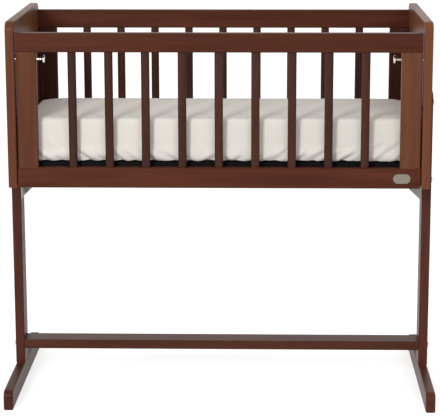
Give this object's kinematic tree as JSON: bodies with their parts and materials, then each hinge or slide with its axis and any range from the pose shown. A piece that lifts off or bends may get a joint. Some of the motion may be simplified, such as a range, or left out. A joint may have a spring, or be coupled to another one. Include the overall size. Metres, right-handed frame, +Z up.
{
  "type": "bedside crib",
  "caption": "Wooden bedside crib on a T-footed stand, with a slatted drop side on spring catches, a fixed slatted back, solid ends, and a mattress in a fitted sheet.",
  "frame": {"origin": "on the floor, in the middle of the two feet", "axes": "+X along the crib, +Z up from the floor, and the drop side faces -Y"},
  "size_m": [1, 0.5, 0.894],
  "materials": {
    "dark_wood": "satin varnish over a dark walnut stain",
    "black_board": "matt black stain",
    "badge_metal": "brushed champagne, bare",
    "bright_metal": "polished",
    "spring_steel": "plain",
    "zinc_steel": "zinc plated",
    "bracket_paint": "light grey paint",
    "track_plastic": "moulded, brown",
    "mattress_cover": "plain woven cover over foam",
    "sheet_cotton": "unbleached cotton jersey"
  },
  "bodies": {
    "stand": {"back_base_rail": "dark_wood", "back_bottom_rail": "dark_wood", "back_left_stile": "dark_wood", "back_rail_screws": "zinc_steel", "back_right_stile": "dark_wood", "back_slat_1": "dark_wood", "back_slat_2": "dark_wood", "back_slat_3": "dark_wood", "back_slat_4": "dark_wood", "back_slat_5": "dark_wood", "back_slat_6": "dark_wood", "back_slat_7": "dark_wood", "back_slat_8": "dark_wood", "back_slat_9": "dark_wood", "back_top_rail": "dark_wood", "base_board": "black_board", "bracket_bolts": "zinc_steel", "bracket_nuts": "zinc_steel", "bracket_screws": "zinc_steel", "cleat_screws": "zinc_steel", "cot_bolts": "zinc_steel", "cot_insert_nuts": "zinc_steel", "fitted_sheet": "sheet_cotton", "front_base_rail": "dark_wood", "left_base_cleat": "dark_wood", "left_end_panel": "dark_wood", "left_foot": "dark_wood", "left_gate_track": "track_plastic", "left_height_bracket": "bracket_paint", "left_post": "dark_wood", "mattress": "mattress_cover", "right_base_cleat": "dark_wood", "right_end_panel": "dark_wood", "right_foot": "dark_wood", "right_gate_track": "track_plastic", "right_height_bracket": "bracket_paint", "right_post": "dark_wood", "stand_screws": "zinc_steel", "stretcher": "dark_wood"},
    "drop_side": {"gate_bottom_rail": "dark_wood", "gate_guides": "track_plastic", "gate_left_stile": "dark_wood", "gate_right_stile": "dark_wood", "gate_slat_1": "dark_wood", "gate_slat_2": "dark_wood", "gate_slat_3": "dark_wood", "gate_slat_4": "dark_wood", "gate_slat_5": "dark_wood", "gate_slat_6": "dark_wood", "gate_slat_7": "dark_wood", "gate_slat_8": "dark_wood", "gate_slat_9": "dark_wood", "gate_top_rail": "dark_wood", "badge_plate": "badge_metal", "catch_ferrules": "bright_metal", "left_catch_spring": "spring_steel", "right_catch_spring": "spring_steel"},
    "left_pin": {"left_catch_pin": "bright_metal"},
    "right_pin": {"right_catch_pin": "bright_metal"}
  },
  "joints": [
    {"name": "gate_drop", "type": "slide", "parent": "stand", "child": "drop_side", "axis": [0, 0, -1], "range_m": [0, 0.16]},
    {"name": "left_pin_pull", "type": "slide", "parent": "drop_side", "child": "left_pin", "axis": [1, 0, 0], "range_m": [0, 0.008], "stiffness_N_per_m": 400, "springref_m": -0.01, "deforming": ["left_catch_spring"]},
    {"name": "right_pin_pull", "type": "slide", "parent": "drop_side", "child": "right_pin", "axis": [-1, 0, 0], "range_m": [0, 0.008], "stiffness_N_per_m": 400, "springref_m": -0.01, "deforming": ["right_catch_spring"]}
  ]
}
